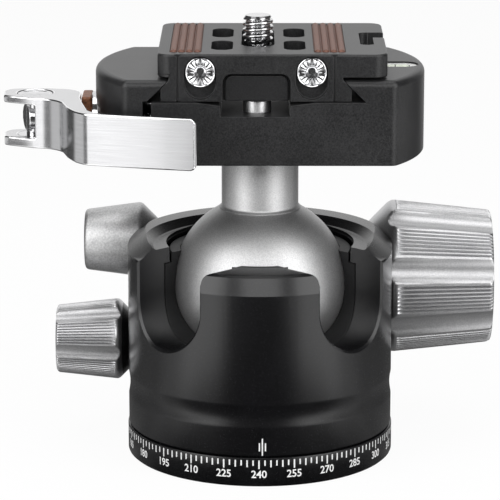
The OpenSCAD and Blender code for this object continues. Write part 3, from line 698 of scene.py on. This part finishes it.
clamp = clamp_block("clamp_body_dressed")
cut(clamp, prism("cutter", black, [(-50, -30), (-21.7, -30), (-21.7, 30), (-50, 30)], 60, 90))
cut(clamp, prism("cutter", black, [
    (-40, 77.7), (-13, 77.7), (-8, 77.05), (-8, 75.0), (-7.85, 74.85), (5.85, 74.85), (6, 75.0),
    (6, 77.05), (11, 77.7), (21.1, 77.7), (15.7, 83.1), (-40, 83.1)], -30, 30, axis="Y"))
cut(clamp, turned("cutter", black, [(0, 60), (3.0, 60), (3.0, 72.2), (5.3, 72.2), (5.3, 80), (0, 80)],
                  steps=64))
rod_y, rod_z = -0.2, 70.8
guide_y, guide_z = 12.5, 71
cut(clamp, along_x(-1, [(0, 7), (3.02, 7), (3.02, 21.5), (3.3, 21.8), (3.3, 30), (0, 30)],
                   rod_y, rod_z, 48))
for side in (-1, 1):
    cut(clamp, along_x(-1, [(0, 8), (2.02, 8), (2.02, 15), (3.3, 15), (3.3, 30), (0, 30)],
                       side * guide_y, guide_z, 48))
cut(clamp, turned("cutter", black, [(0, 70), (2.83, 70), (2.83, 77.4), (3.1, 77.8), (3.1, 80), (0, 80)],
                  steps=48, centre=(-0.6, -12.9, 0)))
cut(clamp, turned("cutter", black, [(0, 60), (1.9, 60), (1.9, 64.8), (1.52, 65.2), (1.52, 70), (0, 70)],
                  steps=32, centre=(-13, rod_y, 0)))
pocket = [(22.6, -3.9), (29.4, -3.9)] + arc(29.4, -1, 2.9, -84, 84, 14) + [(29.4, 1.9), (22.6, 1.9)]
cut(clamp, prism("cutter", black, pocket, 79.2, 90))
soften(clamp, 0.14, 2, 38)
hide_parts("clamp_body")
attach(clamp, "clamp")

jaw = clamp_block("moving_jaw_dressed")
cut(jaw, prism("cutter", black, [
    (-40, 64.9), (-23.4, 64.9), (-23.4, 77.9), (-22.5, 77.9), (-18.3, 82.1), (-18.3, 90), (-40, 90)],
    -30, 30, axis="Y"), "INTERSECT")
cut(jaw, along_x(-1, [(0, 20), (3.1, 20), (3.1, 32.9), (5.8, 32.9), (5.8, 40), (0, 40)],
                 rod_y, rod_z, 64))
for side in (-1, 1):
    cut(jaw, along_x(-1, [(0, 20), (2.05, 20), (2.05, 31.5), (0, 31.5)], side * guide_y, guide_z, 48))
soften(jaw, 0.14, 2, 38)
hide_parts("moving_jaw")
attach(jaw, "jaw")

for side, name in ((-1, "jaw_spring_front"), (1, "jaw_spring_back")):
    deselect()
    bpy.ops.mesh.primitive_circle_add(vertices=10, radius=0.34 * MM, location=(0, 2.65 * MM, 0))
    spring = start(name, steel)
    bpy.ops.object.transform_apply(location=True)
    coil = spring.modifiers.new("coil", "SCREW")
    coil.axis = "X"
    coil.angle = 2 * pi
    coil.screw_offset = 1.45 * MM
    coil.iterations = 5
    coil.steps = coil.render_steps = 28
    bpy.ops.object.modifier_apply(modifier=coil.name)
    spring.data.transform(Matrix.Translation(Vector((-22.9, side * guide_y, guide_z)) * MM))
    close_up(spring, 60)
    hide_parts("jaw_springs")
    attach(spring, "clamp")

stud_steel = bead_blasted("stud_steel", (0.78, 0.78, 0.79), (0.92, 0.92, 0.92), 1.0, 0.42, 2.0, 0.004)
chrome = bead_blasted("polished_steel", (0.62, 0.62, 0.63), (0.74, 0.74, 0.75), 1.0, 0.12, 1.2, 0.0006)
stud = turned("floor_stud_dressed", stud_steel, [
    (0, 70), (2.8, 70), (2.8, 76.8), (2.74, 77.05), (2.5, 77.28), (2.2, 77.35), (0.9, 77.35),
    (0.5, 77.2), (0, 77.1)], steps=64, centre=(-0.6, -12.9, 0))
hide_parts("floor_stud")
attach(stud, "clamp")
assign(["jaw_guide_pins"], steel)


# ---- Lever. Cast and brushed, with polished edges. Its fork turns on a steel barrel, and
# its round heel presses on a brown pad and a washer, which push the jaw in.
brushed, lever_place, lever_sockets = finish("brushed_steel", (0.60, 0.60, 0.61), 1.0, 0.3)
hairs = noise(lever_place, 2.4, 3.0, 0.6, (0.05, 0.05, 1.6))
lever_place.plug(lever_sockets["Base Color"], hairs.shade((0.50, 0.50, 0.51), (0.70, 0.70, 0.71)))
lever_place.plug(lever_sockets["Roughness"], hairs * 0.14 + 0.13)
bump(lever_place, lever_sockets, hairs, 0.4, 0.008)

cam = (-41.65, -1.1)
pivot = (-46.2, rod_y, 0)
bulge = [(-34.1 + 21.1 * i / 12, -22.8 - 5.27 * i / 12 - 0.25 * sin(pi * i / 12)) for i in range(1, 12)]
contour = (arc(*cam, 5, 0, 90, 14) + [(-44, 4.5), (-46.6, 4.6)] + arc(-49.3, 0.7, 3.5, 80, 170, 8)
           + [(-52.4, -2.9), (-51.4, -3.7), (-50, -4.4), (-46.4, -6.2)]
           + arc(-46.6, -13.4, 7.1, 78, 22, 10)
           + [(-38.9, -15.3), (-38.3, -16.9), (-37.6, -18.6), (-37.0, -19.9), (-36.2, -21),
              (-35.3, -22.0), (-34.1, -22.8)]
           + bulge + [(-13.0, -28.07), (-12.62, -27.95), (-12.5, -27.6), (-12.62, -27.1),
                      (-12.9, -26.9), (-29, -22.7)]
           + arc(-28.6, -16.6, 6.1, 262, 196, 10) + [(-35.9, -10.5), (-36.65, -5.2)])
lever = prism("lever_dressed", brushed, contour, 65.5, 76)
# The grip's upper and lower corners at its end are rounded off
grip_end = prism("cutter", brushed, [(-14.2, 60), (-10, 60), (-10, 80), (-14.2, 80)]
                 + [(-14.2, 76.05)] + arc(-13.9, 74.6, 1.4, 90, 0, 6) + arc(-13.9, 66.9, 1.4, 0, -90, 6)
                 + [(-14.2, 65.45)], -32, -24, axis="Y")
cut(lever, grip_end)
cut(lever, turned("cutter", brushed, [(0, 60), (3.7, 60), (3.7, 80), (0, 80)], steps=64,
                  centre=pivot))
cut(lever, prism("cutter", brushed, box_outline(-60, -45.9, -20, 20, 0.8), 67.45, 74.45))
cut(lever, prism("cutter", brushed, box_outline(-60, -30, -4.15, 20, 0.8), 67.45, 74.45))
polish, polish_place, polish_sockets = finish("polished_edge", (0.86, 0.86, 0.87), 1.0, 0.13)
wear = noise(polish_place, 1.5)
polish_place.plug(polish_sockets["Roughness"], wear * 0.12 + 0.07)
polish_place.plug(polish_sockets["Base Color"], wear.shade((0.80, 0.80, 0.81), (0.9, 0.9, 0.91)))
soften(lever, 0.32, 3, 38, polish)
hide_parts("lever")
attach(lever, "lever")

pin = turned("pivot_pin", chrome, [
    (0, 65.9), (3.35, 65.9), (3.65, 66.15), (3.65, 67.4), (1.9, 67.4), (1.9, 74.5), (3.65, 74.5),
    (3.65, 75.6), (3.5, 75.82), (3.3, 75.9), (2.9, 75.9), (2.8, 75.84), (2.7, 75.9), (0, 75.95)],
    steps=96, centre=pivot)
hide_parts("trunnion")
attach(pin, "clamp")

rod = along_x(-1, [(0, 7), (2.5, 7), (2.85, 7.4), (2.85, 49.0), (0, 49.05)], rod_y, rod_z, 64,
              name="draw_rod_dressed", material=chrome)
cut(rod, prism("cutter", chrome, [(-55, -5), (-46.6, -5), (-49.5, 4), (-55, 4)], 65, 76))
soften(rod, 0.22, 3, 40)
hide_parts("draw_rod")
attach(rod, "clamp")

pad_brown, pad_place, pad_sockets = finish("brown_pad", (0.20, 0.075, 0.04), 0.0, 0.5)
fibres = noise(pad_place, 1.4, 4.0, 0.65)
spread = fibres.node("ShaderNodeMapRange", Value=fibres, i1=0.3, i2=0.7)
pad_place.plug(pad_sockets["Base Color"], spread.shade((0.07, 0.02, 0.008), (0.36, 0.14, 0.06)))
pad_place.plug(pad_sockets["Roughness"], fibres * 0.3 + 0.35)
bump(pad_place, pad_sockets, fibres, 0.5, 0.03)
cam_pad = prism("cam_pad_dressed", pad_brown, box_outline(-36.45, -34.4, -4.4, 3.6, 0.5), 66, 75.8)
cut(cam_pad, along_x(-1, [(0, 30), (3.1, 30), (3.1, 40), (0, 40)], rod_y, rod_z, 48))
soften(cam_pad, 0.35, 3, 50)
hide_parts("cam_pad")
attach(cam_pad, "jaw")

washer = along_x(-1, [(3.1, 32.95), (3.3, 32.9), (5.2, 32.9), (5.4, 33.1), (5.4, 34.2), (5.2, 34.4),
                      (3.3, 34.4), (3.1, 34.3), (3.1, 32.95)], rod_y, rod_z, 64,
                 name="cam_washer_dressed", material=chrome)
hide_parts("cam_washer")
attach(washer, "jaw")


# ---- Spirit level. A white moulded holder pressed into the clamp's top, with a clear vial
# of pale spirit between two lines and one bubble.
white_plastic, plastic_place, plastic_sockets = finish("level_plastic", (0.75, 0.75, 0.74), 0.0, 0.35)
haze = noise(plastic_place, 1.0)
plastic_place.plug(plastic_sockets["Base Color"], haze.shade((0.68, 0.68, 0.67), (0.8, 0.8, 0.79)))
plastic_place.plug(plastic_sockets["Roughness"], haze * 0.2 + 0.25)
tray = [(22.65, -3.85), (29.4, -3.85)] + arc(29.4, -1, 2.85, -84, 84, 14) + [(29.4, 1.85), (22.65, 1.85)]
holder = prism("level_holder", white_plastic, tray, 79.2, 81.75)
vial_y, vial_z = -1, 80.7
cut(holder, along_x(1, [(0, 20), (1.5, 20), (1.5, 29.6)] + arc(0, 29.6, 1.5, 0, 90, 8)[1:],
                    vial_y, vial_z, 32))
cut(holder, prism("cutter", white_plastic, box_outline(20, 30.6, -2.25, 0.25, 0.9), 80.7, 90))
soften(holder, 0.1, 2, 45)
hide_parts("level_housing")
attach(holder, "clamp")

spirit, spirit_place, spirit_sockets = finish("vial_spirit", (0.66, 0.70, 0.60), 0.0, 0.08,
                                              Coat_Weight=0.6)
swirl = noise(spirit_place, 0.5)
spirit_place.plug(spirit_sockets["Base Color"], swirl.shade((0.60, 0.65, 0.52), (0.74, 0.78, 0.68)))
spirit_place.plug(spirit_sockets["Roughness"], swirl * 0.08 + 0.04)
vial = along_x(1, [(0, 22.8), (1.1, 22.8), (1.3, 23.0), (1.3, 29.6)] + arc(0, 29.6, 1.3, 0, 90, 8)[1:],
               vial_y, vial_z, 40, name="level_vial_dressed", material=spirit)
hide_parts("level_vial")
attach(vial, "clamp")
for x in (25.2, 27.6):
    line = along_x(1, [(1.31, x - 0.11), (1.33, x), (1.31, x + 0.11), (1.25, x + 0.11), (1.25, x - 0.11),
                       (1.31, x - 0.11)], vial_y, vial_z, 40, name=f"vial_line_{round(x)}",
                   material=black_steel)
    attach(line, "clamp")
swell = [(0.42 * sin(pi * i / 10), 26.4 - 0.9 * cos(pi * i / 10)) for i in range(1, 10)]
bubble = along_x(1, [(0, 25.5)] + swell + [(0, 27.3)], vial_y, 81.62, 24, name="vial_bubble",
                 material=white_plastic)
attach(bubble, "clamp")


# ---- Plate. A black dovetail plate that slides in the clamp. It is milled with relief
# slots, has a rubber strip at each side and carries the camera screw in the middle.
plate_face = -19.5


def arch(foot, inset):
    """The front panel's outline: upright sides and round upper corners."""
    left, right, top, r = -7.45 + inset, 6.05 - inset, 83.4 - inset, 1.8 - inset / 2
    return ([(left, foot), (right, foot)] + arc(right - r, top - r, r, 0, 90, 8)
            + arc(left + r, top - r, r, 90, 180, 8))


plate = prism("plate_dressed", milled_black, [
    (-19.8, 77.8), (18.2, 77.8), (18.2, 80.5), (16.5, 82.2), (16.5, 83.4), (-18.1, 83.4), (-18.1, 82.2),
    (-19.8, 80.5)], plate_face, 18.5, axis="Y")
flange = prism("flange", milled_black, box_outline(-20.45, 25.4, plate_face, 18.5, 2.8, 10), 82.7, 87.3)
round_edges(flange, lambda a, b: a.z > 87.2 and b.z > 87.2, 0.42, 4)
cut(plate, flange, "UNION")
cut(plate, prism("cutter", black, box_outline(-3.75, 2.85, -10.3, 11.3, 3.25, 12), 80, 90))
cut(plate, prism("cutter", black, box_outline(-7.3, 6.4, -14.5, 15.5, 3, 8), 77, 83.3))
cut(plate, prism("cutter", black, arch(77, 0), -21, plate_face + 1.9, axis="Y"))
for side in (-1, 1):
    x = -0.8 + side * 11.1
    recess = arc(x, 83.7, 3.2, 0, 180, 24) + arc(x, 81.4, 3.2, 180, 360, 24)
    cut(plate, prism("cutter", black, recess, -21, plate_face + 1.4, axis="Y"))
    line = -0.8 + side * 15.6
    cut(plate, prism("cutter", black, [
        (line - 0.25, 77), (line + 0.25, 77), (line + 0.25, 86.7), (line + 0.7, 87.4), (line + 0.7, 88),
        (line - 0.7, 88), (line - 0.7, 87.4), (line - 0.25, 86.7)], -21, plate_face + 0.4, axis="Y"))
    bed = -0.5 + side * 14.4
    cut(plate, prism("cutter", black, box_outline(bed - 3.15, bed + 3.15, -16.5, 16.5, 0.4), 86.25, 90))
    for y in (-8.5, 6.1):
        cut(plate, prism("cutter", black, box_outline(side * 7.3 - 2.5, side * 7.3 + 1.8,
                                                      y - 5.3, y + 5.3, 2.0, 8), 84.2, 90))
cut(plate, prism("cutter", black, box_outline(20.3, 23, -7.9, 6.5, 1.3), 80, 90))
cut(plate, prism("cutter", black, box_outline(22, 27, 0.6, 6.5, 0.3), 80, 90))
soften(plate, 0.13, 2, 38)
panel = prism("plate_panel", base_black, arch(77.85, 0.5), plate_face + 1.0, plate_face + 2.0, axis="Y")
soften(panel, 0.12, 2, 50)
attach(panel, "plate")
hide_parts("plate")
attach(plate, "plate")

rubber, rubber_place, rubber_sockets = finish("brown_rubber", (0.16, 0.085, 0.065), 0.0, 0.55)
speckle = noise(rubber_place, 2.6, 4.0, 0.65)
spread = speckle.node("ShaderNodeMapRange", Value=speckle, i1=0.3, i2=0.7)
rubber_place.plug(rubber_sockets["Base Color"],
                  spread.shade((0.06, 0.022, 0.014), (0.20, 0.085, 0.055)))
rubber_place.plug(rubber_sockets["Roughness"], speckle * 0.25 + 0.4)
bump(rubber_place, rubber_sockets, speckle, 0.4, 0.02)
for side, name in ((-1, "left_rubber_strip"), (1, "right_rubber_strip")):
    bed = -0.5 + side * 14.4
    strip = prism(name, rubber, box_outline(bed - 3.12, bed + 3.12, -16.48, 16.48, 0.4), 86.27, 87.12)
    for i in range(4):
        x = bed + (i - 1.5) * 1.575
        end = [(0.7 * sin(radians(a)), 16.45 - 0.7 + 0.7 * cos(radians(a))) for a in range(0, 91, 15)]
        rib = turned("rib", rubber, [(r, h) for r, h in end] + [(r, -h) for r, h in end[::-1]], steps=24,
                     centre=(x, 0, 87.05), axis=(0, -1, 0), angle=60)
        cut(strip, rib, "UNION")
    even_shading(strip, 40)
    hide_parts("plate_pads")
    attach(strip, "plate")


def camera_thread(column, row):
    """The camera screw's threaded shank, 20 turns to the inch, with a chamfered tip."""
    turn = 2 * pi * column / 48
    z = 82.2 + (92 - 82.2) * row / 108
    crest = abs(((z / 1.27 - turn / (2 * pi) + 0.5) % 1) * 2 - 1)
    r = 2.5 + 0.62 * sin(pi / 2 * min(1.0, max(0.0, 1.5 * crest - 0.2)))
    r = min(r, 3.12 - max(0.0, z - 91.2) * 0.7, 2.9 + max(0.0, z - 87.0) * 0.8)
    return -0.45 + r * cos(turn), 0.5 + r * sin(turn), z


shank = wrapped("camera_screw_thread", chrome, 48, 109, camera_thread, angle=40)
head = turned("camera_screw_head", chrome, [
    (0, 78.2), (5.5, 78.2), (5.8, 78.5), (5.8, 82.0), (5.5, 82.3), (0, 82.3)], steps=96,
    centre=(-0.45, 0.5, 0))
cut(head, prism("cutter", chrome, [(-7.5, -0.2), (6.6, -0.2), (6.6, 1.2), (-7.5, 1.2)], 77, 79.6))
soften(head, 0.1, 2, 40)
deselect()
head.select_set(True)
shank.select_set(True)
bpy.context.view_layer.objects.active = shank
bpy.ops.object.join()
shank = bpy.context.object
shank.name = shank.data.name = "camera_screw_dressed"
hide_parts("camera_screw")
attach(shank, "camera_screw")
assign(["screw_washer"], black_steel)

# Out from the thread, round the head's rim, over the ridged face and into the coned socket
screw_skin = [(1.5, 7.5), (1.5, 1.4), (2.85, 1.4), (3.05, 1.2), (3.05, 0.35), (3.0, 0.18),
              (2.87, 0.08), (2.74, 0.14), (2.66, 0.42), (2.5, 0.42), (2.0, 0.42), (1.45, 0.42),
              (1.38, 0.3), (1.3, 0.1), (1.2, 0.08), (1.1, 0.2), (0.5, 1.0)]


def ridged_face(x):
    """Eighteen short ridges run out from the socket of a stop screw, an even grip pattern."""
    def shape(column, row):
        r, depth = screw_skin[row]
        if 9 <= row <= 11:
            depth -= (0, 0.13, 0.26, 0.13)[column % 4]
        turn = 2 * pi * column / 72
        return x + r * cos(turn), plate_face + depth, 83.7 + r * sin(turn)
    return shape


for side, name in ((-1, "left_stop_screw"), (1, "right_stop_screw")):
    screw = wrapped(name, chrome, 72, len(screw_skin), ridged_face(-0.8 + side * 11.1), angle=24)
    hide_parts("stop_screws")
    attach(screw, "plate")


# ---- Studio. A white floor in a white room. Broad pale screens stand to the left and right
# of the camera and are seen in the metal, with dark gaps in front and at each side.
def screens(place, stops):
    """The room's brightness by bearing: -1 is where the camera stands, 1 is behind the object."""
    flat = place.node("ShaderNodeVectorMath", {"operation": "MULTIPLY"}, i0=place, i1=(1, 1, 0))
    unit = flat.node("ShaderNodeVectorMath", {"operation": "NORMALIZE"}, i0=flat)
    bearing = unit.node("ShaderNodeSeparateXYZ", out=1, Vector=unit)
    return bearing.node("ShaderNodeValToRGB", {"stops": stops}, Fac=bearing * 0.5 + 0.5)


def rise(wire, start, end, low, high):
    """A smooth step from low to high, between two distances."""
    return wire.node("ShaderNodeMapRange", {"interpolation_type": "SMOOTHSTEP"}, Value=wire,
                     i1=start, i2=end, i3=low, i4=high)


deselect()
bpy.ops.mesh.primitive_plane_add(size=6)
floor_paint, floor_place, _ = finish("floor_paint", (0.9, 0.9, 0.9), 0.0, 0.9, Specular_IOR_Level=0.0)
floor = start("floor", floor_paint)
floor_tree = floor_paint.node_tree
path = floor_tree.nodes.new("ShaderNodeLightPath")
to_camera = Wire(floor_tree, path.outputs["Is Camera Ray"])
in_gloss = Wire(floor_tree, path.outputs["Is Glossy Ray"])
away = floor_place.node("ShaderNodeVectorMath", {"operation": "LENGTH"}, out=1, i0=floor_place)
foot = floor_place.node("ShaderNodeVectorMath", {"operation": "DISTANCE"}, out=1, i0=floor_place,
                        i1=(0, -0.06, 0))
# The floor glows only in reflections: a painted reflection of the screens by bearing, dark in front and at
# the sides
near = screens(floor_place, [(0.0, 0.05), (0.04, 0.08), (0.085, 1.0), (0.2, 1.0), (0.34, 0.4),
                             (0.5, 0.16), (0.75, 0.08), (0.92, 0.05), (0.96, 0.7)])
far = screens(floor_place, [(0.0, 0.05), (0.035, 0.08), (0.055, 1.0), (0.15, 1.0), (0.21, 0.12),
                            (0.3, 0.12), (0.42, 0.5), (0.68, 0.5), (0.78, 0.06), (0.92, 0.05), (0.96, 0.7)])
screen = near.node("ShaderNodeMix", {"data_type": "RGBA"}, out=2,
                   Factor=rise(away, 0.16, 0.22, 0.0, 1.0), i6=near, i7=far)
# A painted pool of light round the object's foot, seen only in the metal, fading further out
painted_light_pool = rise(foot, 0.045, 0.09, 0.05, 2.0) - rise(away, 0.14, 0.22, 0.0, 0.5)
painted_floor_glow = screen.node("ShaderNodeVectorMath", {"operation": "SCALE"}, i0=screen, Scale=painted_light_pool)
shown = painted_floor_glow.node("ShaderNodeMix", {"data_type": "RGBA"}, out=2, Factor=to_camera,
                      i6=painted_floor_glow, i7=(1, 1, 1, 1))
glow = shown.node("ShaderNodeEmission", Color=shown)
blend = glow.node("ShaderNodeMixShader", i0=to_camera * 0.94 + in_gloss,
                  i1=Wire(floor_tree, floor_tree.nodes["Principled BSDF"].outputs[0]), i2=glow)
blend.plug(floor_tree.nodes["Material Output"].inputs[0], blend)
floor_paint.cycles.emission_sampling = "NONE"

world = bpy.data.worlds.new("studio")
bpy.context.scene.world = world
world.use_nodes = True
world_tree = world.node_tree
sky = Wire(world_tree, world_tree.nodes.new("ShaderNodeTexCoord").outputs["Generated"])
seen = Wire(world_tree, world_tree.nodes.new("ShaderNodeLightPath").outputs["Is Camera Ray"])
screen = screens(sky, [(0.0, 0.06), (0.03, 0.1), (0.08, 0.5), (0.32, 0.5), (0.46, 0.06), (0.9, 0.06),
                       (0.96, 1.0)])
shown = screen.node("ShaderNodeMix", {"data_type": "RGBA"}, out=2, Factor=seen, i6=screen,
                    i7=(1, 1, 1, 1))
sky.plug(world_tree.nodes["Background"].inputs["Color"], shown)


def softbox(name, place, aim, width, height, power):
    """A rectangular lamp at a place, pointed at another."""
    lamp = bpy.data.lights.new(name, "AREA")
    lamp.shape = "RECTANGLE"
    lamp.size = width
    lamp.size_y = height
    lamp.energy = power
    made = bpy.data.objects.new(name, lamp)
    made.location = place
    made.rotation_euler = (Vector(aim) - Vector(place)).to_track_quat("-Z", "Y").to_euler()
    bpy.context.scene.collection.objects.link(made)


softbox("left_lamp", (-0.42, -0.34, 0.30), (0, 0, 0.045), 0.38, 0.6, 1.9)
softbox("right_lamp", (0.42, -0.34, 0.30), (0, 0, 0.045), 0.38, 0.6, 1.8)
softbox("top_lamp", (0, -0.02, 0.6), (0, 0, 0.05), 0.6, 0.3, 1.2)
softbox("front_lamp", (0, -0.5, 0.36), (0, 0, 0.05), 0.35, 0.25, 0.8)
